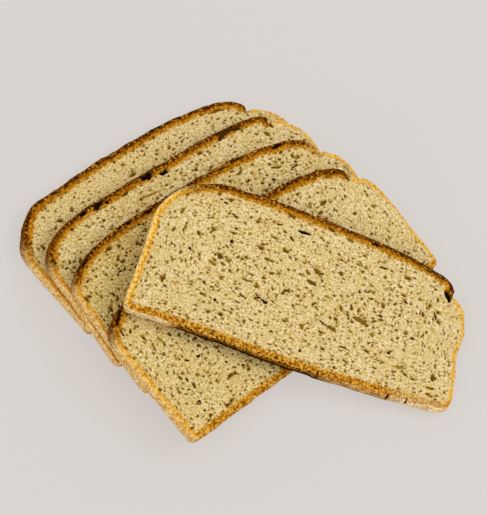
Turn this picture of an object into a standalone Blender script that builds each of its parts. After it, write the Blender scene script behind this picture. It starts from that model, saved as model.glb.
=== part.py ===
"""Five slices of a tinned rye loaf: four fanned out and draped over one another, the fifth laid across them.

Units are millimetres until a point becomes a mesh vertex. X runs along the front of the pile, Y to its back
and Z up. Each slice is drawn flat in a frame of its own, whose origin is the notch at the end of its top
crust, with x along the slice towards that notch and y towards the crown.
"""
import bpy
import bmesh
from collections import namedtuple
from math import cos, hypot, pi, radians, sin
from mathutils import Matrix, Vector, noise

MM = 0.001

# The slices. notch is where the top crust ends, yaw the turn of the slice about Z. reach is how far the
# near end lies from the notch, apex and crown where the top crust is highest. near_round and far_round say
# how square its two shoulders are. side is where the near shoulder starts, near_base and far_base the
# depth of the bottom crust at the two ends, near_lean the flare of the near end, belly how far the far end
# swells past the notch, and far_foot how far out it stands at the bottom crust. hollow is how far the
# bottom crust is drawn in halfway.
Slice = namedtuple("Slice", "name notch yaw reach apex crown near_round far_round side "
                            "near_base far_base near_lean belly far_foot hollow",
                   defaults=[0])
SLICES = (
    Slice("slice_lowest", (-32.8, 71.1), 69.6, 145.1, -121, 22.4, 1.66, 2.45, 0, -43.5, -56.4, 1.1, 11, 5.4),
    Slice("slice_second", (-20.9, 66.2), 65.9, 143.8, -111, 10.4, 2.2, 3.4, -12, -61.5, -56.6, 1.3, 11.3, 6.6),
    Slice("slice_third", (6.1, 60.6), 65.3, 151.3, -80, 18.9, 2.7, 2.5, -3, -54.1, -56.5, -1.4, 10.1, 6),
    Slice("slice_fourth", (24.5, 53.9), 71.1, 155.4, -106, 20.2, 2.5, 2.3, 2, -51.4, -57.5, 0.3, 10.3, 12.4, 1.5),
    Slice("slice_across", (96.1, 32.1), 19.3, 153.7, -119, 15.6, 2.0, 3.0, -16, -59.7, -58.6, 7, 7.2, 3.2),
)
ACROSS = len(SLICES) - 1

THICK = 7.0
THICK_ACROSS = 6.6
GAP = 0.4
CORNER = 4.0
# The far end swells out over this share of its length, as round as the power says.
BELLY_SHARE = 0.35
BELLY_ROUND = 2.6

# The drape. It starts above the bottom crust of the lowest slice and falls towards the last fanned one,
# whose bottom crust comes down to the table. It is less at the near ends of the slices.
FAN_CORNER = Vector((-45.1, -80.2))
FAN_YAW = radians(65.5)
FALL_START = -24.0
FALL_FULL = 16.0
FALL_SLOPE = 0.29
NEAR_SHARE = 0.5
NEAR_START = -5.0
NEAR_LENGTH = 80.0
# The slice laid across eases back towards level where it comes down to the table.
EASE_START = 45.0
EASE_END = 125.0
EASED_SLOPE = 0.055
# The loaded crumb of the two middle slices gives way a little.
SQUEEZE = 0.8

# The mesh: the spacing of outline points, the grid across the faces, how near a cut snaps to a point, and
# the points that a curve of the outline is drawn with.
STEP = 3.0
CELL = 11.0
SNAP = 0.6
FINE = 24
CORNER_FINE = 6

# Crags of the crust, as heights of noise with a wavelength. The seeds set the slices and the two
# directions of a crag apart. A cut wall bulges a little halfway up.
CRAG_CROWN = 0.55
CRAG_SIDE = 0.35
CRAG_BASE = 0.45
CRAG_LENGTH = 7.0
SLICE_SEED = 5.3
ACROSS_SEED = 2.7
WALL_BULGE = 0.25

CRUMB_COLOURS = (
    (0.50, 0.37, 0.20),
    (0.52, 0.38, 0.21),
    (0.49, 0.36, 0.19),
    (0.53, 0.39, 0.22),
    (0.56, 0.42, 0.24),
)
CRUMB_ROUGHNESS = 0.85


def smooth(u):
    u = min(max(u, 0.0), 1.0)
    return u * u * (3 - 2 * u)


def fan_place(x, y):
    """Distance past the lowest slice's bottom crust, and distance along it from its near end."""
    dx = x - FAN_CORNER.x
    dy = y - FAN_CORNER.y
    past = dx * sin(FAN_YAW) - dy * cos(FAN_YAW)
    along = dx * cos(FAN_YAW) + dy * sin(FAN_YAW)
    return past, along


def ramp(value, start, end, slope):
    """A height that starts level and reaches its slope between two stations."""
    bent = min(max(value - start, 0.0), end - start)
    straight = max(value - end, 0.0)
    return slope * (bent * bent / (2 * (end - start)) + straight)


def underside(index, x, y):
    """Height of a slice's lower face."""
    if index == 0:
        return 0.0
    past, along = fan_place(x, y)
    share = NEAR_SHARE + (1 - NEAR_SHARE) * smooth((along - NEAR_START) / NEAR_LENGTH)
    squeezed_below = min(index, 3) - 1
    given = SQUEEZE * smooth((past - FALL_START) / (FALL_FULL - FALL_START))
    height = index * (THICK + GAP) - squeezed_below * given
    height -= share * ramp(past, FALL_START, FALL_FULL, FALL_SLOPE)
    if index == ACROSS:
        height += share * ramp(past, EASE_START, EASE_END, FALL_SLOPE - EASED_SLOPE)
    return height


def upper_face(index, x, y):
    """Height of a slice's upper face, which follows the slice that rests on it."""
    if index == ACROSS:
        return underside(index, x, y) + THICK_ACROSS
    if index == ACROSS - 1:
        return underside(index, x, y) + THICK
    return underside(index + 1, x, y) - GAP


def slope_of(height, index, x, y):
    """The uphill slope of a face, as a vector in plan."""
    reach = 0.5
    east = height(index, x + reach, y) - height(index, x - reach, y)
    north = height(index, x, y + reach) - height(index, x, y - reach)
    return Vector((east, north)) / (2 * reach)


def crown_line(s):
    """The top crust from the near shoulder over the apex to the notch."""
    rise = s.crown - s.side
    length = s.apex + s.reach
    points = []
    for i in range(FINE + 1):
        turn = i / FINE * pi / 2
        points.append((s.apex - length * cos(turn) ** (2 / s.near_round),
                       s.side + rise * sin(turn) ** (2 / s.near_round)))
    for i in range(1, FINE + 1):
        turn = (1 - i / FINE) * pi / 2
        points.append((s.apex - s.apex * cos(turn) ** (2 / s.far_round),
                       s.crown * sin(turn) ** (2 / s.far_round)))
    return points


def far_side(s):
    """The far end, from the notch over its belly down to the bottom crust's corner."""
    points = []
    for i in range(1, FINE + 1):
        share = i / FINE
        y = (s.far_base + CORNER) * share
        if share < BELLY_SHARE:
            x = s.belly * (1 - (1 - share / BELLY_SHARE) ** BELLY_ROUND)
        else:
            x = s.belly + (s.far_foot - s.belly) * (share - BELLY_SHARE) / (1 - BELLY_SHARE)
        points.append((x, y))
    return points


def corner_curve(before, corner, after):
    """A rounded corner, as a quadratic curve without its first point."""
    points = []
    for i in range(1, CORNER_FINE + 1):
        t = i / CORNER_FINE
        points.append(tuple((1 - t) ** 2 * a + 2 * t * (1 - t) * b + t * t * c
                            for a, b, c in zip(before, corner, after)))
    return points


def bottom_line(start, end, hollow):
    """The bottom crust between two points, drawn in between them, without its first point."""
    points = []
    for i in range(1, FINE + 1):
        t = i / FINE
        points.append((start[0] + (end[0] - start[0]) * t,
                       start[1] + (end[1] - start[1]) * t + hollow * 4 * t * (1 - t)))
    return points


def outline(index):
    """The slice's outline, evenly spaced and craggy."""
    s = SLICES[index]
    points = crown_line(s) + far_side(s)
    far_corner = (s.far_foot, s.far_base)
    near_corner = (-s.reach - s.near_lean, s.near_base)
    points += corner_curve(points[-1], far_corner, (s.far_foot - CORNER, s.far_base))
    points += bottom_line(points[-1], (near_corner[0] + CORNER, s.near_base), s.hollow)
    points += corner_curve(points[-1], near_corner, (near_corner[0], s.near_base + CORNER))
    return [crag(index, p) for p in evenly(points)]


def evenly(points):
    """Points at even steps round a closed line."""
    ends = points[1:] + points[:1]
    lengths = [hypot(b[0] - a[0], b[1] - a[1]) for a, b in zip(points, ends)]
    count = round(sum(lengths) / STEP)
    step = sum(lengths) / count
    even = []
    travelled = 0.0
    for a, b, length in zip(points, ends, lengths):
        while len(even) * step < travelled + length and len(even) < count:
            t = (len(even) * step - travelled) / length
            even.append(Vector((a[0] + (b[0] - a[0]) * t, a[1] + (b[1] - a[1]) * t)))
        travelled += length
    return even


def crag(index, point):
    """Moves an outline point by the crust's roughness, which is greatest on the crown."""
    s = SLICES[index]
    if point.y > 0:
        height = CRAG_CROWN
    elif point.y < s.near_base + CORNER:
        height = CRAG_BASE
    else:
        height = CRAG_SIDE
    seat = Vector((point.x / CRAG_LENGTH, point.y / CRAG_LENGTH, SLICE_SEED * index))
    return Vector((point.x + height * noise.noise(seat),
                   point.y + height * noise.noise(seat + Vector((0, 0, ACROSS_SEED)))))


def flat_slab(index):
    """The outline as a filled curve, extruded and cut into cells that can bend."""
    points = outline(index)
    curve = bpy.data.curves.new("outline", "CURVE")
    curve.dimensions = "2D"
    curve.fill_mode = "BOTH"
    curve.extrude = THICK / 2
    spline = curve.splines.new("POLY")
    spline.points.add(len(points) - 1)
    for spot, point in zip(spline.points, points):
        spot.co = (point.x, point.y, 0, 1)
    spline.use_cyclic_u = True
    drawn = bpy.data.objects.new("outline", curve)
    bpy.context.collection.objects.link(drawn)
    depsgraph = bpy.context.evaluated_depsgraph_get()
    mesh = bpy.data.meshes.new_from_object(drawn.evaluated_get(depsgraph))
    bpy.data.objects.remove(drawn)

    slab = bmesh.new()
    slab.from_mesh(mesh)
    bpy.data.meshes.remove(mesh)
    bmesh.ops.remove_doubles(slab, verts=slab.verts, dist=0.001)
    slab.normal_update()
    for side in (-1, 1):
        cap = [f for f in slab.faces if f.normal.z * side > 0.9]
        bmesh.ops.dissolve_faces(slab, faces=cap)
    cut_across(slab, Vector((0, 0, 0)), Vector((0, 0, 1)))
    for axis in (Vector((1, 0, 0)), Vector((0, 1, 0))):
        spread = [v.co.dot(axis) for v in slab.verts]
        cells = int((max(spread) - min(spread)) / CELL)
        for i in range(1, cells + 1):
            place = min(spread) + (max(spread) - min(spread)) * i / (cells + 1)
            cut_across(slab, axis * place, axis)
    bmesh.ops.triangulate(slab, faces=slab.faces)
    return slab


def cut_across(slab, place, normal):
    geometry = slab.verts[:] + slab.edges[:] + slab.faces[:]
    bmesh.ops.bisect_plane(slab, geom=geometry, plane_co=place, plane_no=normal, dist=SNAP)


def drape(index, slab, seat):
    """Bends a flat slab so that it lies on what is below it."""
    thick = THICK_ACROSS if index == ACROSS else THICK
    slab.normal_update()
    bulges = [WALL_BULGE * Vector((v.normal.x, v.normal.y, 0)) for v in slab.verts]
    back = seat.inverted()
    for vertex, bulge in zip(slab.verts, bulges):
        level = vertex.co.z / THICK + 0.5
        if abs(vertex.co.z) < SNAP:
            vertex.co += bulge
        place = seat @ Vector((vertex.co.x, vertex.co.y, 0))
        lean = slope_of(upper_face, index, place.x, place.y) * thick
        low = Vector((place.x + lean.x, place.y + lean.y, 0))
        low.z = underside(index, low.x, low.y)
        high = Vector((place.x, place.y, upper_face(index, place.x, place.y)))
        vertex.co = back @ low.lerp(high, level)


def crumb_material(index):
    material = bpy.data.materials.new(SLICES[index].name + "_crumb")
    material.use_nodes = True
    shader = material.node_tree.nodes["Principled BSDF"]
    shader.inputs["Base Color"].default_value = (*CRUMB_COLOURS[index], 1)
    shader.inputs["Roughness"].default_value = CRUMB_ROUGHNESS
    shader.inputs["Metallic"].default_value = 0.0
    return material


def make_slice(index, collection):
    s = SLICES[index]
    seat = Matrix.Translation((*s.notch, 0)) @ Matrix.Rotation(radians(s.yaw), 4, "Z")
    slab = flat_slab(index)
    drape(index, slab, seat)
    bmesh.ops.scale(slab, verts=slab.verts, vec=(MM, MM, MM))
    bmesh.ops.recalc_face_normals(slab, faces=slab.faces)
    mesh = bpy.data.meshes.new(s.name)
    slab.to_mesh(mesh)
    slab.free()
    mesh.materials.append(crumb_material(index))
    piece = bpy.data.objects.new(s.name, mesh)
    piece.location = (s.notch[0] * MM, s.notch[1] * MM, 0)
    piece.rotation_euler = (0, 0, radians(s.yaw))
    collection.objects.link(piece)
    return piece


def centre_on_base(pieces):
    """Puts the middle of the pile's box at X and Y zero, and its base at Z zero."""
    bpy.context.view_layer.update()
    corners = [piece.matrix_world @ v.co for piece in pieces for v in piece.data.vertices]
    low = Vector([min(c[i] for c in corners) for i in range(3)])
    high = Vector([max(c[i] for c in corners) for i in range(3)])
    middle = (low + high) / 2
    for piece in pieces:
        piece.location -= Vector((middle.x, middle.y, low.z))


def main():
    for old in list(bpy.data.objects):
        bpy.data.objects.remove(old)
    collection = bpy.data.collections.new("sliced_rye_bread")
    bpy.context.scene.collection.children.link(collection)
    pieces = [make_slice(i, collection) for i in range(len(SLICES))]
    centre_on_base(pieces)


main()
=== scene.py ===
from math import cos, radians, sin
from typing import NamedTuple

import bmesh
import bpy
import numpy as np
from mathutils import Matrix, Vector


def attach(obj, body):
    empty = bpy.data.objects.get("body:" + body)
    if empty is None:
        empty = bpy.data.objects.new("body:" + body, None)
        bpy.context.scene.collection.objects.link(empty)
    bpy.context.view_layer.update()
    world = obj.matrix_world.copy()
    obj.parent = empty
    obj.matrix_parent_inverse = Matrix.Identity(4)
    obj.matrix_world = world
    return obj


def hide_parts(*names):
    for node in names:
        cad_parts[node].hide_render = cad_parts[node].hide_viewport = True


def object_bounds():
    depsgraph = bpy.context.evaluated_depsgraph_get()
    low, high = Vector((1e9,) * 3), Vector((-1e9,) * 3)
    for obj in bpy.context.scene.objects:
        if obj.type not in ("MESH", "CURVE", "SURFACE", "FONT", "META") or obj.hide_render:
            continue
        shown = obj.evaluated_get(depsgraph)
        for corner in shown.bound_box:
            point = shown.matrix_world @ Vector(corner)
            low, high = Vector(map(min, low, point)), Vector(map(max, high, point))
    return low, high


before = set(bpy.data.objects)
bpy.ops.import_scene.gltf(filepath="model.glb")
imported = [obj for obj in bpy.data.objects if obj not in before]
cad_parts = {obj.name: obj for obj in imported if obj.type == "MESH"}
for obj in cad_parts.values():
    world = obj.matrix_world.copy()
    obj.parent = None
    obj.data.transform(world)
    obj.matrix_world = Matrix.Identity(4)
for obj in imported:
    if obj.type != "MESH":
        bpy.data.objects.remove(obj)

MM = 0.001
CAD_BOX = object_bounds()


class Slice(NamedTuple):
    """Where a slice lies, and how its crust and crumb differ from the others'.

    yaw turns its own frame about Z. far and deep are how far its far end and its bottom crust lie from that
    frame's origin, the notch that ends the top crust: x runs along the slice to the notch, y to the crown.
    shoulder is how far round the near shoulder the dark crust goes, 1 at the crown only and 0 down to the
    side. tip is how dark its far end stays, up to the notch. tan browns the near side. holes is how many
    pores are tried on each face, of which those in the crumb are kept, and gloom is how dark the pores are
    painted inside, as painted shade, and how much painted shade the crumb has.
    """
    yaw: float
    far: float
    deep: float
    shoulder: float
    tip: float
    tan: float
    holes: int
    gloom: float


SLICES = {
    "slice_lowest": Slice(69.6, 11.0, 56.4, 0.15, 1.0, 0.8, 1050, 0.20),
    "slice_second": Slice(65.9, 11.3, 61.5, 0.15, 1.0, 0.9, 1050, 0.25),
    "slice_third": Slice(65.3, 10.1, 56.5, 0.25, 0.4, 0.5, 1800, 0.45),
    "slice_fourth": Slice(71.1, 12.4, 57.5, 0.15, 1.0, 0.35, 1100, 0.22),
    "slice_across": Slice(19.3, 7.2, 59.7, 0.6, 1.0, 0.0, 1150, 0.10),
}


class Mark(NamedTuple):
    """A hole, slit, crease or tear in the upper face: the route of its middle line, its greatest half width,
    its depth, and how dark it is painted inside, as painted shade in its hollow: 1 black, 0 the olive of a
    pore, below 0 paler than the crumb."""
    route: tuple
    half_width: float
    depth: float
    gloom: float


MARKS = {
    "slice_lowest": (
        Mark(((-18, 9.4), (-14.2, 8.3), (-10.5, 6.9)), 0.7, 1.0, 0.45),
        Mark(((-139.4, 8.5), (-137.2, 7.2)), 0.9, 1.4, 0.6),
        Mark(((0.1, 1.5), (-1.1, -0.9)), 1.0, 1.0, 0.5),
    ),
    "slice_second": (
        Mark(((-29.5, 4.8), (-26, 6.6), (-21, 6.8), (-15.5, 4.6)), 1.5, 2.4, 0.72),
        Mark(((-76, 8.0), (-69.2, 8.4)), 1.6, 2.4, 1.0),
        Mark(((-66.6, 5.7), (-61.2, 5.1)), 1.2, 2.2, 1.0),
        Mark(((-105.7, 7.4), (-102.3, 8.6), (-99.4, 9.4)), 1.5, 2.2, 0.92),
        Mark(((-98.9, 7.1), (-96.6, 7.5)), 1.0, 1.6, 0.95),
        Mark(((-113.4, 8.7), (-109.6, 9.2)), 1.4, 2.2, 1.0),
        Mark(((-89.5, 6.0), (-85.6, 6.3)), 0.7, 1.0, 0.7),
        Mark(((-82, 0.6), (-78, -0.6), (-73, -0.9)), 0.7, 0.7, 0.15),
        Mark(((-122.4, 5.1), (-120.4, 4.8)), 0.7, 1.0, 0.8),
        Mark(((-139.0, -2.0), (-139.6, -5.4)), 0.8, 1.3, 0.7),
        Mark(((-136.2, -7.0), (-134.4, -7.9)), 0.6, -0.3, -0.35),
        Mark(((-137.6, -9.6), (-135.2, -9.9)), 0.9, 0.8, 0.4),
        Mark(((-134.2, -10.8), (-132.4, -12.0)), 0.9, 0.8, 0.45),
        Mark(((-136.0, -12.4), (-134.6, -13.6)), 0.7, 0.7, 0.3),
        Mark(((-132.2, -8.8), (-130.8, -9.6)), 0.6, 0.7, 0.3),
        Mark(((0.1, 1.2), (-1.4, -1.0), (-1.8, -3.6)), 1.0, 0.9, 0.42),
    ),
    "slice_third": (
        Mark(((-20.5, 12.4), (-14.2, 12.3)), 1.0, 0.9, 1.0),
        Mark(((-135.5, 12.3), (-138.4, 11.4), (-140.6, 9.6)), 0.85, 1.6, 0.95),
        Mark(((-142.6, 8.4), (-144.0, 6.9)), 0.7, 0.8, 0.5),
        Mark(((-96.4, 16.6), (-92.2, 17.0)), 0.9, 0.8, 0.95),
        Mark(((-108.0, 17.0), (-104.6, 17.3)), 0.9, 0.8, 0.95),
        Mark(((-103.4, 13.8), (-101.6, 14.0)), 0.6, 1.0, 0.9),
        Mark(((-106.9, 14.2), (-105.9, 14.4)), 0.5, 1.0, 0.9),
        Mark(((-118.4, 10.0), (-117.0, 10.3)), 0.8, 1.2, 0.7),
        Mark(((-117.5, 5.5), (-116.5, 5.7)), 0.6, 1.2, 0.9),
        Mark(((-115.2, 1.7), (-113.9, 2.0)), 0.8, 1.2, 1.0),
        Mark(((-107.2, 6.4), (-105.8, 6.7)), 0.8, 1.2, 0.7),
        Mark(((-128.0, -1.4), (-126.7, -1.1)), 0.8, 1.2, 0.7),
        Mark(((-132.2, -2.0), (-130.9, -1.8)), 0.8, 1.2, 0.9),
        Mark(((-123.2, -0.7), (-121.9, -0.4)), 0.7, 1.2, 0.8),
        Mark(((-18.5, -0.4), (-13.6, -0.7)), 0.6, 1.0, 0.4),
        Mark(((-21.8, 6.2), (-20, 5.9)), 0.8, 1.2, 0.5),
        Mark(((0.2, 1.0), (-1.6, -1.4)), 1.0, 0.9, 0.42),
    ),
    "slice_fourth": (
        Mark(((-141.3, 15.9), (-145.4, 13.9), (-147.9, 11.6)), 1.0, 1.5, 0.9),
        Mark(((-148.3, 9.4), (-149.0, 5.6)), 0.8, 1.0, 0.6),
        Mark(((-126.0, -21.0), (-124.8, -21.9), (-123.2, -21.4)), 0.7, 1.4, 1.0),
        Mark(((-132.0, -19.4), (-130.0, -20.7)), 0.8, 1.3, 0.8),
        Mark(((-140.4, -37.6), (-138.9, -38.5)), 0.8, 1.4, 1.0),
        Mark(((-141.3, -42.2), (-140.0, -43.3)), 0.8, 1.2, 0.6),
        Mark(((-153.0, -45.0), (-151.6, -46.0)), 0.8, 0.9, 0.4),
        Mark(((-114.6, -25.2), (-113.1, -25.9)), 0.8, 1.2, 0.5),
        Mark(((-130.0, -6.0), (-128.8, -6.6)), 0.9, 1.2, 0.4),
        Mark(((-132.4, -27.6), (-130.2, -28.5)), 1.1, 1.2, 0.15),
        Mark(((-138.5, -23.1), (-136.9, -23.6)), 1.0, 1.1, 0.1),
        Mark(((-140.9, -30.6), (-139.6, -31.3)), 0.7, 1.1, 0.8),
        Mark(((-146.3, -28.9), (-144.6, -29.6)), 0.9, 1.1, 0.25),
        Mark(((-108.5, -36.5), (-107.0, -37.3)), 0.7, 1.2, 0.9),
        Mark(((-22.3, -2.4), (-18.2, -2.8)), 1.1, 1.4, 0.35),
        Mark(((-32.8, 6.6), (-31.6, 5.8)), 0.7, 1.1, 0.7),
        Mark(((-26.4, -5.0), (-23.4, -5.6)), 0.9, 1.1, 0.3),
        Mark(((-5.0, 4.6), (-2.8, 3.6), (-2.1, 1.6)), 0.9, 0.7, 0.6),
        Mark(((0.2, 0.6), (-1.4, -0.4), (-2.2, -2.0)), 1.0, 0.9, 0.45),
    ),
    "slice_across": (
        Mark(((-82.8, 5.4), (-79.6, 5.6), (-76.0, 5.9)), 1.05, 2.2, 1.0),
        Mark(((-4.9, 1.4), (-3.2, -0.7), (-2.0, -3.4)), 1.5, 2.0, 1.0),
        Mark(((-97.6, -32.0), (-95.4, -32.1), (-93.9, -33.3), (-92.0, -33.6)), 0.62, 1.8, 1.0),
        Mark(((-106.4, -34.0), (-103.8, -34.5)), 0.6, 1.2, 0.8),
        Mark(((-119.9, -18.8), (-117.2, -19.8)), 1.8, 1.8, 0.35),
        Mark(((-131.6, -11.5), (-129.6, -12.4)), 1.4, 1.5, 0.3),
        Mark(((-114.9, -10.2), (-113.4, -11.2)), 1.1, 1.6, 0.8),
        Mark(((-134.4, -20.4), (-133.0, -21.4)), 0.9, 1.4, 0.9),
        Mark(((-125.0, -34.0), (-123.9, -34.6)), 0.8, 1.4, 1.0),
        Mark(((-118.5, -40.5), (-117.2, -41.4)), 0.8, 1.4, 0.95),
        Mark(((-125.0, -7.0), (-123.6, -7.6)), 1.2, 1.3, 0.1),
        Mark(((-124.0, -23.2), (-120.0, -24.6)), 1.0, 1.2, 0.1),
        Mark(((-115.6, -20.1), (-113.4, -20.7)), 1.2, 1.2, 0.0),
        Mark(((-106.9, -15.5), (-105.2, -16.3)), 1.1, 1.3, 0.2),
        Mark(((-143.6, -42.2), (-142.0, -43.0)), 0.8, 1.1, 0.7),
        Mark(((-48.8, -25.9), (-45.0, -26.4), (-41.0, -27.6)), 1.7, 1.8, 0.2),
        Mark(((-65.6, -32.6), (-62.6, -34.0), (-60.4, -34.6)), 0.5, 1.0, 0.6),
        Mark(((-60.8, -34.2), (-56.6, -35.0)), 1.4, 1.6, 0.2),
        Mark(((-22.5, -24.4), (-21.4, -26.2)), 1.6, 1.4, 0.0),
        Mark(((-39.6, -31.0), (-37.6, -31.6)), 1.4, 1.3, 0.1),
        Mark(((-74.6, -15.8), (-69.4, -17.0)), 1.1, 1.4, 0.3),
        Mark(((-71.8, -9.6), (-68.0, -11.2)), 1.5, 1.5, 0.25),
        Mark(((-59.4, -7.0), (-57.2, -7.8)), 1.3, 1.4, 0.3),
        Mark(((-48.4, -2.5), (-46.9, -3.0)), 0.9, 1.1, 0.3),
        Mark(((-45.3, -11.0), (-44.1, -11.5)), 0.8, 1.4, 1.0),
        Mark(((-48.5, -12.4), (-46.8, -13.0)), 0.8, 1.3, 0.8),
        Mark(((-36.4, -20.6), (-34.5, -21.0)), 0.8, 1.4, 1.0),
        Mark(((-14.9, -12.2), (-14.4, -14.8)), 0.6, 1.2, 0.8),
        Mark(((-8.9, -11.4), (-7.9, -14.4)), 0.6, 1.2, 0.9),
        Mark(((-73.2, -49.8), (-72.2, -50.5)), 0.8, 1.3, 1.0),
        Mark(((-60.9, -29.6), (-59.8, -30.2)), 0.8, 1.2, 0.7),
        Mark(((-50.8, -19.4), (-50.3, -22.8)), 0.7, 1.2, 0.4),
        Mark(((-25.4, -43.4), (-19.8, -43.1)), 0.7, 0.9, 0.0),
        Mark(((-36.0, -42.7), (-33.0, -43.0)), 0.6, 0.8, 0.0),
        Mark(((-6.0, -36.4), (-5.4, -39.4)), 0.6, 0.8, 0.1),
        Mark(((-0.4, -29.2), (-0.1, -33.4)), 0.6, 0.7, 0.0),
        Mark(((-89.2, 12.2), (-85.0, 10.4)), 0.9, 1.0, 0.35),
        Mark(((-58.0, 10.3), (-54.4, 9.6)), 0.9, 1.0, 0.2),
        Mark(((-45.2, 12.2), (-41.7, 12.1)), 0.9, 1.2, 1.0),
        Mark(((-95.8, -1.6), (-92.0, -2.0)), 0.8, 1.1, 0.2),
        Mark(((-27.2, -58.2), (-26.8, -60.4)), 0.6, 1.2, 0.95),
        Mark(((-62.6, -57.0), (-62.2, -60.2)), 0.5, 0.8, 0.8),
        Mark(((-55.2, -58.6), (-55.2, -60.4)), 0.6, 1.0, 0.8),
        Mark(((-46.6, -58.6), (-46.4, -60.4)), 0.5, 0.8, 0.7),
        Mark(((-17.7, -57.6), (-17.2, -60.4)), 0.6, 1.0, 0.85),
    ),
}

# The fine mesh.
VOXEL = 0.6
SMOOTHING = 2
RIM_ANGLE = radians(35)
RIM_SAMPLES = 8

# A point belongs to a wall, and no longer to a face, as the height of its normal falls from WALL_FROM by
# WALL_BLEND. Pores open where a face looks up or down by FACE_TILT, marks wherever it isn't below MARK_TILT.
WALL_FROM = 0.8
WALL_BLEND = 0.3
FACE_TILT = 0.5
MARK_TILT = -0.3

# The relief of the crust and of the crumb: a wavelength, a height and a seed's shift for each layer. The
# crust also stands out by WALL_SWELL, and has pits of this depth.
CRAGS = ((7.0, 0.3, 0), (2.2, 0.22, 9))
BUMPS = ((14.0, 0.15, 20), (1.3, 0.06, 30))
WALL_SWELL = 0.15
PIT_DEPTH = 0.45

# The notch that ends the top crust is pinched in by this much, over this reach and this way.
NOTCH_DEPTH = 1.5
NOTCH_REACH = 2.6
NOTCH_WAY = (-0.75, -0.65, 0)
# The far side of the slice laid across swells and sinks: the middle, the reach and the height of each swell.
SWELLS = (
    ((3.5, -6.0), 7.0, 1.1),
    ((4.2, -28.0), 14.0, -1.5),
    ((0.5, -50.0), 11.0, 0.9),
)
# The lower edges of the crust are rounded under by UNDERCUT, over this reach. The slice laid across has a
# value for its two ends, and two for its bottom crust, which changes from BASE near by to END farther off.
UNDERCUT = 1.0
UNDERCUT_SIDES = 2.2
UNDERCUT_BASE = 1.2
UNDERCUT_END = 0.6
UNDERCUT_REACH = 5.0

# The stretch of the bottom crust of the slice laid across that is brown and free of flour, along x. The wall
# there is also painted dark as painted shade, and near black at its foot as a painted shadow.
MURK_NEAR = -141.0
MURK_FAR = -52.0

# Its bottom crust turns pale and floury past PALE_FROM, and its crown is burnt darker past CHAR_FROM.
PALE_FROM = -34.0
CHAR_FROM = -58.0

# The camera, as far off as a long lens stands.
CAMERA_TARGET = (-0.01016, 0.01618, 0.0)
CAMERA_HEIGHT = radians(56.7)
CAMERA_ROLL = radians(29.6)
CAMERA_DISTANCE = 1.8
CAMERA_LENS = 267.4


def smooth(u):
    """Eases from 0 to 1, and holds those ends."""
    u = np.clip(u, 0, 1)
    return u * u * (3 - 2 * u)


# Noise for the relief.

def lattice(i, j, k, seed):
    """A repeatable random value from 0 to 1 for each whole point."""
    h = (i * 374761393 + j * 668265263 + k * 2147483647 + seed * 1274126177) & 0xFFFFFFFF
    h = ((h ^ (h >> 13)) * 1274126177) & 0xFFFFFFFF
    h = ((h ^ (h >> 16)) * 2246822519) & 0xFFFFFFFF
    return (h ^ (h >> 15)) / 0xFFFFFFFF


def noise(points, length, seed):
    """Smooth noise from -1 to 1 with about that wavelength."""
    p = points / length
    whole = np.floor(p).astype(np.int64)
    part = smooth(p - whole)
    total = np.zeros(len(p))
    for corner in range(8):
        step = np.array([corner & 1, corner >> 1 & 1, corner >> 2 & 1])
        weight = np.prod(np.where(step, part, 1 - part), axis=1)
        i, j, k = (whole + step).T
        total += weight * lattice(i, j, k, seed)
    return total * 2 - 1


def rough(points, length, seed, octaves=3):
    """Noise with finer and weaker noise on it."""
    total = np.zeros(len(points))
    for octave in range(octaves):
        total += noise(points, length / 2 ** octave, seed + octave) / 2 ** octave
    return total / 1.5


# The slice's solid, finely meshed.

def welded(node):
    """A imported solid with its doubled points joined."""
    bm = bmesh.new()
    bm.from_mesh(node.data)
    bmesh.ops.remove_doubles(bm, verts=bm.verts, dist=1e-6)
    bm.normal_update()
    return bm


def own_frame(points, name):
    """Points of the row frame, in millimetres, as x, y in the slice's own frame and their height."""
    yaw = radians(SLICES[name].yaw)
    c, s = cos(yaw), sin(yaw)
    return np.stack([points[:, 0] * c + points[:, 1] * s,
                     -points[:, 0] * s + points[:, 1] * c, points[:, 2]], axis=1)


def own_way_back(name):
    """The turn from the slice's own frame back to the row frame."""
    yaw = radians(SLICES[name].yaw)
    c, s = cos(yaw), sin(yaw)
    return np.array([[c, -s, 0], [s, c, 0], [0, 0, 1]])


def rim_samples(bm, upper):
    """Points along the rim of the upper or lower face, with the way out from each."""
    points, ways = [], []
    sign = 1 if upper else -1
    for edge in bm.edges:
        if len(edge.link_faces) != 2:
            continue
        face, wall = sorted(edge.link_faces, key=lambda f: -sign * f.normal.z)
        if sign * face.normal.z < 0.7 or sign * wall.normal.z > 0.7:
            continue
        a, b = (v.co / MM for v in edge.verts)
        for i in range(RIM_SAMPLES):
            points.append(a.lerp(b, i / RIM_SAMPLES))
            ways.append(wall.normal)
    return np.array(points), np.array(ways)


def fine_mesh(bm, name):
    """The solid with rounded faces and an even, fine mesh."""
    crease = bm.edges.layers.float.new("crease_edge")
    for edge in bm.edges:
        edge[crease] = 1.0 if edge.calc_face_angle(0) > RIM_ANGLE else 0.0
    coarse = bpy.data.meshes.new(name + "_coarse")
    bm.to_mesh(coarse)
    piece = bpy.data.objects.new(name + "_coarse", coarse)
    bpy.context.scene.collection.objects.link(piece)
    rounding = piece.modifiers.new("rounding", "SUBSURF")
    rounding.levels = rounding.render_levels = 2
    remesh = piece.modifiers.new("remesh", "REMESH")
    remesh.mode = "VOXEL"
    remesh.voxel_size = VOXEL * MM
    depsgraph = bpy.context.evaluated_depsgraph_get()
    mesh = bpy.data.meshes.new_from_object(piece.evaluated_get(depsgraph))
    bpy.data.objects.remove(piece)
    bpy.data.meshes.remove(coarse)
    mesh.name = name + "_mesh"
    return mesh


def read(mesh):
    """The mesh's points, in millimetres."""
    points = np.empty(len(mesh.vertices) * 3, np.float32)
    mesh.vertices.foreach_get("co", points)
    return points.reshape(-1, 3).astype(float) / MM


def write(mesh, points):
    """Puts points in millimetres back into the mesh."""
    mesh.vertices.foreach_set("co", (points * MM).astype(np.float32).ravel())
    mesh.update()


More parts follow.
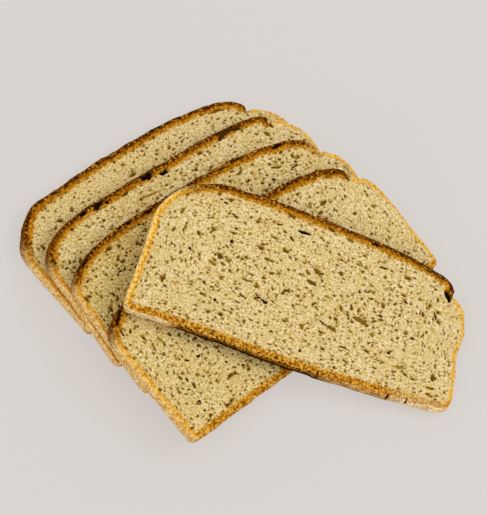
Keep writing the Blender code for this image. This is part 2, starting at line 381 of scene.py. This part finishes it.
def normals(mesh):
    found = np.empty(len(mesh.vertices) * 3, np.float32)
    mesh.vertex_normals.foreach_get("vector", found)
    return found.reshape(-1, 3).astype(float)


def relax(mesh, points, rounds):
    """Moves each point halfway to the mean of its neighbours, again and again."""
    pairs = np.empty(len(mesh.edges) * 2, np.int32)
    mesh.edges.foreach_get("vertices", pairs)
    a, b = pairs.reshape(-1, 2).T
    count = np.bincount(a, minlength=len(points)) + np.bincount(b, minlength=len(points))
    for _ in range(rounds):
        total = np.zeros_like(points)
        for axis in range(3):
            total[:, axis] = (np.bincount(a, points[b, axis], len(points))
                              + np.bincount(b, points[a, axis], len(points)))
        points = (points + total / count[:, None]) / 2
    return points


def nearest(points, samples):
    """For each point, the number of the nearest rim sample in plan, and how far it is."""
    number = np.empty(len(points), int)
    distance = np.empty(len(points))
    flat = samples[:, :2].astype(np.float32)
    for start in range(0, len(points), 8000):
        part = points[start:start + 8000, :2].astype(np.float32)
        square = (part ** 2).sum(1)[:, None] - 2 * part @ flat.T + (flat ** 2).sum(1)[None]
        number[start:start + 8000] = square.argmin(1)
        distance[start:start + 8000] = np.sqrt(np.maximum(square.min(1), 0))
    return number, distance


def soften(samples, values, reach):
    """Blends a value along the rim, so that one crust runs into the next."""
    gap = np.hypot(samples[:, None, 0] - samples[None, :, 0], samples[:, None, 1] - samples[None, :, 1])
    weight = np.exp(-(gap / reach) ** 2)
    return weight @ values / weight.sum(1)


# Pores, which are random ellipses, and marks, which follow a route. For each a field of 1 in the middle and
# 0 on the edge is kept, for the relief and for the material.

class Cells:
    """Points sorted into square cells, to find those near a place quickly."""
    SIZE = 2.0

    def __init__(self, points):
        self.points = points
        self.low = points.min(0)
        cell = ((points - self.low) / self.SIZE).astype(int)
        self.across = cell[:, 0].max() + 1
        self.down = cell[:, 1].max() + 1
        number = cell[:, 0] * self.down + cell[:, 1]
        self.order = np.argsort(number, kind="stable")
        self.start = np.searchsorted(number[self.order], np.arange(self.across * self.down + 1))

    def near(self, x, y, reach):
        low = np.maximum(((np.array([x, y]) - reach - self.low) / self.SIZE).astype(int), 0)
        high = ((np.array([x, y]) + reach - self.low) / self.SIZE).astype(int)
        high = np.minimum(high, [self.across - 1, self.down - 1])
        found = [self.order[self.start[i * self.down + low[1]]:self.start[i * self.down + high[1] + 1]]
                 for i in range(low[0], high[0] + 1)]
        return np.concatenate(found) if found else np.empty(0, int)


def ellipse(points, x, y, half_length, half_width, turn):
    """How far out each point is, 0 in the middle and 1 on the edge."""
    c, s = cos(turn), sin(turn)
    dx, dy = points[:, 0] - x, points[:, 1] - y
    return np.hypot((dx * c + dy * s) / half_length, (dy * c - dx * s) / half_width)


def mark_field(points, mark):
    """How far inside a mark each point is: 1 on its middle line, 0 on its edge and less beyond."""
    route = np.array(mark.route, float)
    lengths = np.hypot(*np.diff(route, axis=0).T)
    starts = np.concatenate([[0], np.cumsum(lengths)])
    gap = np.full(len(points), np.inf)
    along = np.zeros(len(points))
    for a, b, start, length in zip(route, route[1:], starts, lengths):
        part = np.clip(((points[:, :2] - a) @ (b - a)) / length ** 2, 0, 1)
        reach = np.hypot(*(points[:, :2] - a - part[:, None] * (b - a)).T)
        closer = reach < gap
        gap[closer] = reach[closer]
        along[closer] = (start + part * length)[closer] / starts[-1]
    taper = 0.25 + 0.75 * np.sqrt(1 - (2 * along - 1) ** 2)
    ragged = 1.1 + 0.5 * noise(points, 1.3, 77)
    return 1 - gap * ragged / (mark.half_width * taper)


# Material nodes, written shortly.

class Graph:
    def __init__(self, name):
        self.material = bpy.data.materials.new(name)
        self.material.use_nodes = True
        self.tree = self.material.node_tree
        self.shader = self.tree.nodes["Principled BSDF"]

    def node(self, kind, inputs=(), **settings):
        made = self.tree.nodes.new("ShaderNode" + kind)
        for name, value in settings.items():
            setattr(made, name, value)
        for socket, value in dict(inputs).items():
            self.put(made.inputs[socket], value)
        return made

    def put(self, socket, value):
        if isinstance(value, bpy.types.NodeSocket):
            self.tree.links.new(value, socket)
        else:
            socket.default_value = value

    def math(self, operation, *values, clamp=False):
        made = self.node("Math", enumerate(values), operation=operation, use_clamp=clamp)
        return made.outputs[0]

    def fact(self, name):
        return self.node("Attribute", attribute_name=name).outputs["Fac"]

    def place(self, name, shift):
        found = self.node("Attribute", attribute_name=name).outputs["Vector"]
        return self.node("Mapping", {"Vector": found, "Location": shift}).outputs[0]

    def noise(self, vector, scale, detail=2.0, roughness=0.5):
        made = self.node("TexNoise", {"Vector": vector, "Scale": scale, "Detail": detail,
                                      "Roughness": roughness})
        return made.outputs["Fac"]

    def spread(self, value, low, high, to_low=0.0, to_high=1.0):
        """Maps a range smoothly, and holds it at its ends."""
        made = self.node("MapRange", {0: value, 1: low, 2: high, 3: to_low, 4: to_high},
                         interpolation_type="SMOOTHSTEP")
        return made.outputs[0]

    def ramp(self, value, stops):
        made = self.node("ValToRGB", {0: value})
        elements = made.color_ramp.elements
        while len(elements) < len(stops):
            elements.new(0.5)
        for element, (place, colour) in zip(elements, stops):
            element.position = place
            element.color = colour
        return made.outputs["Color"], made.outputs["Alpha"]

    def mix(self, factor, a, b):
        made = self.node("Mix", {0: factor, 6: a, 7: b}, data_type="RGBA")
        return made.outputs[2]


def paint(red, green, blue, alpha=1.0):
    """A colour as it looks on screen, 0 to 255, as a linear one."""
    linear = []
    for value in (red, green, blue):
        share = value / 255
        linear.append(share / 12.92 if share < 0.04045 else ((share + 0.055) / 1.055) ** 2.4)
    return (*linear, alpha)


# The crust's colours on the cut face, from the rim inwards over BAND millimetres.
BAND = 8.0


def band(*stops):
    """Ramp stops from (millimetres in from the rim, colour, cover)."""
    return [(place / BAND, paint(*colour, cover)) for place, colour, cover in stops]


CROWN_BAND = band((0.0, (108, 58, 3), 1), (0.6, (98, 48, 2), 1), (1.5, (108, 54, 2), 1),
                  (2.2, (136, 80, 3), 1), (3.0, (170, 110, 6), 0.97), (3.9, (190, 136, 24), 0.8),
                  (5.0, (202, 158, 60), 0.4), (6.5, (208, 176, 100), 0.0))
NEAR_BAND = band((0.0, (224, 196, 134), 1), (0.5, (250, 216, 134), 1), (1.1, (238, 194, 86), 1),
                 (1.9, (228, 170, 48), 0.9), (2.9, (218, 162, 50), 0.7), (4.2, (206, 162, 74), 0.3),
                 (6.0, (206, 170, 95), 0.0))
FAR_BAND = band((0.0, (212, 184, 128), 1), (0.5, (220, 176, 88), 1), (1.1, (218, 168, 58), 0.95),
                (1.9, (218, 170, 64), 0.65), (2.9, (216, 176, 92), 0.25), (4.2, (212, 174, 92), 0.1),
                (6.0, (206, 170, 95), 0.0))
TAN_BAND = band((0.0, (206, 156, 74), 1), (0.6, (196, 136, 30), 1), (1.3, (186, 122, 10), 0.95),
                (2.0, (198, 134, 22), 0.7), (2.9, (202, 152, 52), 0.3), (4.2, (203, 166, 86), 0.1),
                (6.0, (206, 170, 95), 0.0))
BASE_BAND = band((0.0, (178, 128, 42), 1), (0.5, (188, 134, 36), 1), (1.6, (182, 118, 6), 1),
                 (2.3, (184, 120, 6), 0.97), (3.2, (198, 142, 26), 0.8), (4.4, (207, 162, 60), 0.45),
                 (6.0, (210, 178, 100), 0.0))


def pore_layer(g, place, across, least, greatest):
    """Random round pores, one to a cell at most: how far inside one a point is, in millimetres."""
    cells = g.node("TexVoronoi", {"Vector": place, "Scale": 1 / across}, voronoi_dimensions="2D")
    chance = g.node("SeparateColor", {0: cells.outputs["Color"]}).outputs[0]
    reach = g.spread(chance, least, 1.0, 0.0, greatest / across)
    return g.math("MULTIPLY", g.math("SUBTRACT", reach, cells.outputs["Distance"]), across)


def micro_pores(g, seed):
    """Pores too small for the mesh, long along the slice, or down it near its ends."""
    spot = g.node("Attribute", attribute_name="spot").outputs["Vector"]
    wobble = g.node("TexNoise", {"Vector": spot, "Scale": 1.0, "Detail": 2.0}).outputs["Color"]
    moved = g.node("VectorMath", {0: wobble, 1: (0.9, 0.9, 0.0)}, operation="MULTIPLY_ADD")
    g.put(moved.inputs[2], spot)
    ways = []
    for stretch in ((0.74, 1.2, 1.0), (1.2, 0.74, 1.0)):
        place = g.node("Mapping", {"Vector": moved.outputs[0], "Scale": stretch,
                                   "Location": (seed * 3.1, seed * 7.7, 0)}).outputs[0]
        large = pore_layer(g, place, 2.6, 0.42, 0.78)
        small = pore_layer(g, place, 1.7, 0.45, 0.5)
        ways.append(g.math("MAXIMUM", large, small))
    upright = g.fact("upright")
    return g.math("ADD", g.math("MULTIPLY", ways[1], upright),
                  g.math("MULTIPLY", ways[0], g.math("SUBTRACT", 1.0, upright)))


def crumb_colour(g, fine, cloud):
    """The crumb, with painted shade that makes it greener and darker, the more towards the slice's near end
    and the higher its gloom.
    """
    painted_shade = g.fact("painted_shade")
    low = g.mix(painted_shade, paint(175, 144, 56), paint(166, 126, 10))
    high = g.mix(painted_shade, paint(234, 214, 172), paint(224, 198, 112))
    crumb = g.mix(g.spread(fine, 0.34, 0.66), low, high)
    dull = g.mix(painted_shade, paint(203, 172, 98), paint(190, 152, 60))
    return g.mix(g.spread(cloud, 0.4, 0.7, 0.0, 0.3), crumb, dull)


def with_pores(g, crumb, grain, tiny):
    """Adds the olive and brown painted inside the pores, as painted shade in their hollows, darker where the
    crumb has more painted shade. They end where the crust begins.
    """
    inner = g.spread(g.fact("rim"), 1.6, 3.4)
    deep = g.mix(g.fact("painted_shade"), paint(84, 50, 1), paint(30, 12, 0))
    deep = g.mix(g.spread(tiny, 0.12, 0.5), paint(162, 120, 22), deep)
    crumb = g.mix(g.math("MULTIPLY", g.spread(tiny, -0.15, 0.25, 0.0, 0.88), inner), crumb, deep)
    pore = g.math("ADD", g.fact("pore"), g.math("MULTIPLY", g.math("SUBTRACT", grain, 0.5), 1.2))
    inside = g.mix(g.fact("gloom"), paint(154, 112, 10), paint(50, 24, 1))
    inside = g.mix(g.spread(pore, 0.25, 0.85, 0.0, 0.9), inside, paint(78, 44, 1))
    return g.mix(g.math("MULTIPLY", g.spread(pore, -0.15, 0.25), inner), crumb, inside)


def crust_colour(g, grain, speck, wave):
    """The crust on the cut face, by how far it is from the rim, and how far it covers the crumb. At the far
    side its inner edge also wanders with the wave."""
    ragged = g.math("ADD", g.math("MULTIPLY", g.math("SUBTRACT", grain, 0.5), 3.0),
                    g.math("MULTIPLY", g.math("SUBTRACT", speck, 0.5), 2.8))
    uneven = g.math("MULTIPLY", g.fact("farther"), 5.0)
    ragged = g.math("ADD", ragged, g.math("MULTIPLY", g.math("SUBTRACT", wave, 0.5), uneven))
    place = g.math("DIVIDE", g.math("ADD", g.fact("rim"), ragged), BAND, clamp=True)
    dark = g.fact("dark")
    base = g.fact("base")
    colour, cover = g.ramp(place, NEAR_BAND)
    for part, stops in ((g.fact("farther"), FAR_BAND), (g.fact("tan"), TAN_BAND), (base, BASE_BAND),
                        (dark, CROWN_BAND)):
        part_colour, part_cover = g.ramp(place, stops)
        colour = g.mix(part, colour, part_colour)
        cover = g.math("ADD", g.math("MULTIPLY", cover, g.math("SUBTRACT", 1.0, part)),
                       g.math("MULTIPLY", part_cover, part))
    strong = g.math("ADD", 0.7, g.math("MULTIPLY", 0.25, g.math("MAXIMUM", dark, base)))
    murk = g.fact("murk")
    burnt = g.mix(g.math("MULTIPLY", dark, murk, clamp=True), colour, paint(62, 28, 3))
    colour = g.mix(g.spread(place, 2.6 / BAND, 1.4 / BAND), colour, burnt)
    below = g.mix(murk, paint(122, 64, 5), paint(66, 30, 2))
    burnt = g.mix(dark, g.mix(base, paint(184, 112, 10), below), paint(34, 10, 1))
    burnt = g.mix(g.spread(place, 1.8 / BAND, 3.4 / BAND), burnt, paint(146, 80, 5))
    colour = g.mix(g.math("MULTIPLY", g.spread(speck, 0.51, 0.57), strong), colour, burnt)
    glint = g.mix(dark, paint(228, 186, 100), paint(206, 142, 22))
    colour = g.mix(g.math("MULTIPLY", g.spread(speck, 0.46, 0.38), 0.7), colour, glint)
    pale = g.spread(murk, 0.0, -1.0, 1.0, 0.65)
    cover = g.math("ADD", cover, g.math("MULTIPLY", g.math("SUBTRACT", speck, 0.5), 1.6))
    return colour, g.math("MULTIPLY", g.spread(cover, 0.34, 0.84), pale)


def wall_colour(g, grain, speck, cloud):
    """Floury at the sides, brown below and bark on the crown, with painted shade towards the lower rim, and
    painted shade and painted light on the bottom crust of the slice laid across.
    """
    flour = g.mix(g.spread(grain, 0.38, 0.62), paint(198, 158, 84), paint(242, 212, 150))
    flour = g.mix(g.spread(cloud, 0.5, 0.75, 0.0, 0.5), flour, paint(216, 164, 94))
    flour = g.mix(g.spread(speck, 0.54, 0.6, 0.0, 0.8), flour, paint(184, 116, 24))
    # Painted shade: the flour darkens towards the lower rim, where the wall meets what it lies on.
    flour = g.mix(g.spread(g.fact("level"), 0.16, 0.02, 0.0, 0.7), flour, paint(112, 84, 44))
    below = g.mix(g.spread(grain, 0.38, 0.62), paint(172, 118, 50), paint(222, 176, 108))
    below = g.mix(g.spread(speck, 0.54, 0.6, 0.0, 0.8), below, paint(104, 58, 8))
    # Darker towards the lower rim: the bottom crust is browner there, and this is also painted shade.
    below = g.mix(g.spread(g.fact("level"), 0.5, 0.0, 0.0, 0.6), below, paint(92, 56, 14))
    # Along the murk stretch the wall is dark brown, partly browner crust and partly painted shade, and near
    # black at its foot as a painted shadow of the gap beneath it.
    murky = g.mix(g.spread(grain, 0.38, 0.62), paint(104, 60, 5), paint(168, 110, 22))
    murky = g.mix(g.spread(speck, 0.5, 0.56, 0.0, 0.9), murky, paint(44, 20, 1))
    murky = g.mix(g.spread(g.fact("level"), 0.7, 0.42), murky, paint(14, 8, 2))
    below = g.mix(g.fact("murk"), below, murky)
    # Where floury, the wall is pale cream, painted brighter than the flour elsewhere as painted light.
    creamy = g.mix(g.spread(grain, 0.38, 0.62), paint(218, 180, 116), paint(252, 236, 192))
    creamy = g.mix(g.spread(speck, 0.54, 0.6, 0.0, 0.8), creamy, paint(184, 116, 24))
    below = g.mix(g.spread(g.fact("murk"), 0.0, -1.0), below, creamy)
    bark = g.mix(g.spread(grain, 0.35, 0.7), paint(82, 40, 3), paint(146, 88, 12))
    bark = g.mix(g.spread(speck, 0.53, 0.6, 0.0, 0.8), bark, paint(36, 14, 1))
    return g.mix(g.fact("dark"), g.mix(g.fact("base"), flour, below), bark)


def bread(name, seed):
    """The one material of crumb, crust, pores and holes, read from what each point has stored."""
    g = Graph(name)
    spot = g.place("spot", shift=(seed * 37.0, seed * 53.0, seed * 11.0))
    fine = g.noise(spot, 1.0, 3.0, 0.7)
    grain = g.noise(spot, 0.7, 3.0, 0.6)
    speck = g.noise(spot, 0.8, 3.0, 0.6)
    cloud = g.noise(spot, 0.09, 2.0, 0.5)
    tiny = micro_pores(g, seed)

    wave = g.noise(spot, 0.16, 1.0, 0.5)
    crust, cover = crust_colour(g, grain, speck, wave)
    colour = g.mix(cover, crumb_colour(g, fine, cloud), crust)
    colour = with_pores(g, colour, grain, tiny)
    colour = g.mix(g.fact("side"), colour, wall_colour(g, grain, speck, cloud))

    hole = g.math("ADD", g.fact("hole"), g.math("MULTIPLY", g.math("SUBTRACT", grain, 0.5), 0.8))
    # The inside of the marks: painted shade in their hollows, from olive through brown to near black as the
    # gloom rises, and paler than the crumb below 0.
    gloom = g.fact("gloom")
    inside = g.mix(g.spread(gloom, 0.0, 0.5), paint(160, 124, 34), paint(106, 66, 8))
    inside = g.mix(g.spread(gloom, 0.5, 1.0), inside, paint(30, 12, 3))
    inside = g.mix(g.spread(gloom, 0.0, -1.0), inside, paint(244, 226, 184))
    colour = g.mix(g.spread(hole, -0.05, 0.25), colour, inside)
    g.put(g.shader.inputs["Base Color"], colour)

    g.shader.inputs["Roughness"].default_value = 0.9
    g.shader.inputs["Specular IOR Level"].default_value = 0.02
    height = g.math("ADD", g.math("MULTIPLY", fine, 0.7), g.spread(tiny, -0.1, 0.3, 0.0, -0.9))
    height = g.math("ADD", height, g.math("MULTIPLY", speck, -0.5))
    bump = g.node("Bump", {"Height": height, "Strength": 0.8, "Distance": 0.0005})
    g.put(g.shader.inputs["Normal"], bump.outputs[0])
    return g.material


def keep(mesh, name, values):
    """Stores one value, or one vector, for each point of a mesh."""
    values = np.asarray(values, np.float32)
    if values.ndim == 2:
        made = mesh.attributes.new(name, "FLOAT_VECTOR", "POINT")
        made.data.foreach_set("vector", values.ravel())
    else:
        made = mesh.attributes.new(name, "FLOAT", "POINT")
        made.data.foreach_set("value", values)


def pores(spots, rim_points, rim_ways, wanted, gloom, seed):
    """The field of the random pores of one face, how deep they are and how dark."""
    draw = np.random.default_rng(seed)
    cells = Cells(spots[:, :2])
    low, high = spots.min(0)[:2], spots.max(0)[:2]
    middles = draw.uniform(low, high, (wanted, 2))
    number, distance = nearest(middles, rim_points)
    inside = ((rim_points[number, :2] - middles) * rim_ways[number, :2]).sum(1) > 0
    flat = np.column_stack([middles, np.zeros(wanted)])
    crowd = 0.6 + 0.4 * noise(flat, 15.0, seed + 1)
    kept = inside & (distance > 1.8) & (draw.random(wanted) < crowd * (0.4 + 0.6 * smooth(distance / 14)))
    half_width = np.clip(0.45 * np.exp(draw.normal(0, 0.32, wanted)), 0.36, 1.0)
    stretch = draw.uniform(1.1, 2.4, wanted)
    tangent = np.arctan2(rim_ways[number, 0], -rim_ways[number, 1])
    loose = 0.25 + 0.75 * smooth((distance - 6) / 26)
    turn = tangent + draw.normal(0, 0.6, wanted) * loose
    # How dark each pore is painted inside, as painted shade, spread round the slice's gloom.
    painted_shade = np.clip(draw.normal(gloom, 0.15, wanted), 0, 1)
    painted_shade[draw.random(wanted) < gloom * 0.25] = 0.9
    field = np.full(len(spots), -1.0)
    depth = np.zeros(len(spots))
    shades = np.zeros(len(spots))
    for i in np.flatnonzero(kept):
        a, b = half_width[i] * stretch[i], half_width[i]
        found = cells.near(*middles[i], a * 2)
        value = 1 - ellipse(spots[found], *middles[i], a, b, turn[i])
        better = found[value > field[found]]
        shades[better] = painted_shade[i]
        field[found] = np.maximum(field[found], value)
        depth[found] = np.maximum(depth[found], b * 1.5 * smooth((value + 0.3) / 0.8))
    return field, depth, shades


def sink_marks(spots, exposed, name):
    """The field of a slice's marks, how deep they are and how dark."""
    field = np.full(len(spots), -1.0)
    depth = np.zeros(len(spots))
    shades = np.zeros(len(spots))
    for mark in MARKS[name]:
        route = np.array(mark.route)
        room = mark.half_width * 2
        near = ((spots[:, :2] > route.min(0) - room) & (spots[:, :2] < route.max(0) + room)).all(1)
        found = np.flatnonzero(near & exposed)
        value = mark_field(spots[found], mark)
        better = value > field[found]
        shades[found[better]] = mark.gloom
        field[found[better]] = value[better]
        sunk = mark.depth * smooth((value + 0.1) / 0.6)
        depth[found] = np.where(np.abs(sunk) > np.abs(depth[found]), sunk, depth[found])
    return field, depth, shades


class Rim(NamedTuple):
    """Points along the rim of one face, in the slice's own frame, and the way out from each."""
    points: np.ndarray
    ways: np.ndarray


class Skin(NamedTuple):
    """The fine mesh's points in the slice's own frame, and where on the slice each one lies.

    way is the normal. side is 0 on a face and 1 on a wall. distance is how far the rim of its own face is, in
    plan. above and below are the numbers of the nearest points of the upper and the lower rim, each with its
    distance. level is 0 at the lower rim and 1 at the upper.
    """
    spots: np.ndarray
    way: np.ndarray
    side: np.ndarray
    distance: np.ndarray
    above: np.ndarray
    above_distance: np.ndarray
    below: np.ndarray
    below_distance: np.ndarray
    level: np.ndarray


def own_rim(found, name, origin):
    points, ways = found
    return Rim(own_frame(points, name) - origin, own_frame(ways, name))


def lay_out(spots, way, upper, lower):
    """Finds where on the slice each point lies."""
    above, above_distance = nearest(spots, upper.points)
    below, below_distance = nearest(spots, lower.points)
    distance = np.where(way[:, 2] > 0, above_distance, below_distance)
    side = smooth((WALL_FROM - np.abs(way[:, 2])) / WALL_BLEND)
    top = upper.points[above, 2]
    bottom = lower.points[below, 2]
    level = np.clip((spots[:, 2] - bottom) / np.maximum(top - bottom, 1), 0, 1)
    return Skin(spots, way, side, distance, above, above_distance, below, below_distance, level)


def crusts(this, upper, skin):
    """How much of each crust every point has, and how upright the fine pores are there."""
    rim, out = upper
    dark = soften(rim, smooth((out[:, 1] - this.shoulder) / 0.4), 4.0)
    tip = this.tip * smooth((rim[:, 0] + 16) / 8) * (rim[:, 1] > -3)
    dark = np.maximum(dark, tip) * smooth((0.6 - rim[:, 0]) / 0.8)
    base = soften(rim, smooth((-out[:, 1] - 0.4) / 0.4), 4.0)
    tan = soften(rim, smooth((-out[:, 0] - 0.3) / 0.4), 6.0) * this.tan
    farther = soften(rim, smooth((out[:, 0] - 0.1) / 0.3), 6.0)
    along_rim = {"dark": dark, "base": base, "tan": tan, "farther": farther}
    parts = {part: values[skin.above] for part, values in along_rim.items()}
    at_end = smooth((np.abs(out[skin.above, 0]) - 0.5) / 0.3)
    parts["upright"] = at_end * smooth((34 - skin.above_distance) / 12)
    return parts


def open_crumb(name, seed, skin, upper, lower):
    """The fields of the pores and of the marks, how dark they are and how deep."""
    this = SLICES[name]
    up = skin.way[:, 2]
    pore = np.full(len(up), -1.0)
    depth = np.zeros(len(up))
    gloom = np.zeros(len(up))
    for face, rim, face_seed in ((up > FACE_TILT, upper, seed), (up < -FACE_TILT, lower, seed + 50)):
        chosen = np.flatnonzero(face)
        made = pores(skin.spots[chosen], rim.points, rim.ways, this.holes, this.gloom, face_seed)
        pore[chosen], depth[chosen], gloom[chosen] = made
    hole, sunk, shades = sink_marks(skin.spots, up > MARK_TILT, name)
    marked = hole > -0.3
    gloom[marked] = shades[marked]
    pore[marked] = -1
    return pore, hole, gloom, np.where(sunk != 0, sunk, depth)


def relief(skin, parts, depth, seed):
    """How far each point is raised along its normal."""
    crags = sum(rough(skin.spots, length, seed + shift) * height for length, height, shift in CRAGS)
    bumps = sum(rough(skin.spots, length, seed + shift) * height for length, height, shift in BUMPS)
    strength = 0.35 + 0.65 * np.maximum(parts["dark"], parts["base"])
    crust = smooth((3.6 - skin.distance) / 2) * (1 - skin.side) * strength
    pits = crust * smooth((noise(skin.spots, 1.2, seed + 40) - 0.1) / 0.5) * PIT_DEPTH
    return skin.side * (crags + WALL_SWELL) + (1 - skin.side) * (bumps - pits) - depth


def pinch_notch(points, spots, turn_back):
    pinch = smooth(1 - np.hypot(spots[:, 0], spots[:, 1] - 0.5) / NOTCH_REACH) * NOTCH_DEPTH
    return points + pinch[:, None] * (turn_back @ np.array(NOTCH_WAY))


def swell_far_side(points, spots, turn_back):
    outward = turn_back @ np.array([1, 0, 0])
    for middle, reach, swell in SWELLS:
        share = smooth(1 - np.hypot(spots[:, 0] - middle[0], spots[:, 1] - middle[1]) / reach)
        points = points + (share * swell)[:, None] * outward
    return points


def round_under(points, name, skin, lower, parts, turn_back):
    """Draws the lower edge of the crust in, except under the crown."""
    under = np.full(len(points), UNDERCUT)
    if name == "slice_across":
        nearer = smooth((-skin.spots[:, 0] - 55) / 30)
        at_base = UNDERCUT_END + (UNDERCUT_BASE - UNDERCUT_END) * nearer
        under = UNDERCUT_SIDES + (at_base - UNDERCUT_SIDES) * parts["base"]
    at_rim = smooth(1 - skin.below_distance / UNDERCUT_REACH)
    under *= (1 - skin.level) ** 1.5 * at_rim * (1 - parts["dark"])
    flat_way = lower.ways[skin.below] * [1, 1, 0]
    return points - under[:, None] * (flat_way @ turn_back.T)


def browning(name, skin, parts):
    """Where the slice laid across is browner or burnt, above 0, and where it is pale and floury, below 0.
    Above 0 its bottom crust's wall also gets painted shade, and below 0 that wall is painted brighter as
    painted light.
    """
    murk = np.zeros(len(skin.spots))
    if name == "slice_across":
        along = skin.spots[:, 0]
        base = parts["base"]
        murk = base * smooth((along - MURK_NEAR) / 8) * smooth((MURK_FAR - along) / 16)
        murk -= base * skin.side * smooth((MURK_NEAR + 8 - along) / 6)
        murk -= base * smooth((along - PALE_FROM) / 20)
        murk += parts["dark"] * smooth((along - CHAR_FROM) / 40)
    return murk


def make_slice(name, seed):
    """Replaces a packed slice by a finely meshed one with its relief and its material."""
    this = SLICES[name]
    bm = welded(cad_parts[name])
    upper_found = rim_samples(bm, True)
    lower_found = rim_samples(bm, False)
    mesh = fine_mesh(bm, name)
    bm.free()
    points = relax(mesh, read(mesh), SMOOTHING)
    write(mesh, points)
    way = normals(mesh)

    turned = own_frame(points, name)
    origin = np.array([turned[:, 0].max() - this.far, turned[:, 1].min() + this.deep, 0])
    upper = own_rim(upper_found, name, origin)
    lower = own_rim(lower_found, name, origin)
    skin = lay_out(turned - origin, way, upper, lower)
    parts = crusts(this, upper, skin)
    pore, hole, gloom, depth = open_crumb(name, seed, skin, upper, lower)

    turn_back = own_way_back(name)
    points = points + way * relief(skin, parts, depth, seed)[:, None]
    points = pinch_notch(points, skin.spots, turn_back)
    if name == "slice_across":
        points = swell_far_side(points, skin.spots, turn_back)
    points = round_under(points, name, skin, lower, parts, turn_back)
    low, high = (np.array(corner) / MM for corner in CAD_BOX)
    write(mesh, np.clip(points, low, high))

    # Painted shade for the crumb and its fine pores: a share of the slice's gloom everywhere, all of it
    # towards the near end.
    painted_shade = this.gloom * (0.4 + 0.6 * smooth((-30 - skin.spots[:, 0]) / 40))
    kept = {"spot": skin.spots, "rim": skin.distance * (1 - skin.side), "side": skin.side, **parts,
            "level": skin.level, "murk": browning(name, skin, parts), "painted_shade": painted_shade, "pore": pore,
            "hole": hole, "gloom": gloom}
    for attribute, values in kept.items():
        keep(mesh, attribute, values)
    mesh.shade_smooth()
    piece = bpy.data.objects.new(name.replace("slice", "bread"), mesh)
    bpy.context.scene.collection.objects.link(piece)
    mesh.materials.append(bread(name + "_bread", seed))
    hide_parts(name)
    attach(piece, "root")
    return piece


def make_floor():
    bpy.ops.mesh.primitive_plane_add(size=6, location=(0, 0, -0.0002))
    floor = bpy.context.object
    floor.name = "floor"
    material = bpy.data.materials.new("floor_paper")
    material.use_nodes = True
    shader = material.node_tree.nodes["Principled BSDF"]
    shader.inputs["Base Color"].default_value = paint(110, 107, 105)
    shader.inputs["Emission Color"].default_value = paint(191, 186, 182)
    shader.inputs["Emission Strength"].default_value = 1.0
    shader.inputs["Roughness"].default_value = 1.0
    shader.inputs["Specular IOR Level"].default_value = 0.0
    floor.data.materials.append(material)


def make_lamp(name, place, size, power):
    lamp = bpy.data.lights.new(name, "AREA")
    lamp.shape = "DISK"
    lamp.size = size
    lamp.energy = power
    piece = bpy.data.objects.new(name, lamp)
    bpy.context.scene.collection.objects.link(piece)
    piece.location = place
    piece.rotation_euler = (-piece.location).to_track_quat("-Z", "Y").to_euler()


def make_light():
    world = bpy.data.worlds.new("studio")
    bpy.context.scene.world = world
    world.use_nodes = True
    background = world.node_tree.nodes["Background"]
    background.inputs["Color"].default_value = (1.0, 1.0, 1.0, 1)
    background.inputs["Strength"].default_value = 0.9
    make_lamp("key", (0.9, 0.8, 1.2), 1.0, 9)
    make_lamp("fill", (-0.5, -1.3, 0.8), 1.2, 6)


def make_camera():
    target = Vector(CAMERA_TARGET)
    back = Vector((0, -cos(CAMERA_HEIGHT), sin(CAMERA_HEIGHT)))
    data = bpy.data.cameras.new("camera")
    data.lens = CAMERA_LENS
    data.sensor_width = 36
    data.clip_start = 0.1
    data.clip_end = 20
    camera = bpy.data.objects.new("camera", data)
    bpy.context.scene.collection.objects.link(camera)
    look = (-back).to_track_quat("-Z", "Y").to_matrix().to_4x4()
    camera.matrix_world = (Matrix.Translation(target + back * CAMERA_DISTANCE) @ look
                           @ Matrix.Rotation(CAMERA_ROLL, 4, "Z"))
    bpy.context.scene.camera = camera


make_camera()
make_light()
make_floor()
for number, slice_name in enumerate(SLICES):
    make_slice(slice_name, number + 1)
bpy.context.scene.view_settings.view_transform = "Standard"
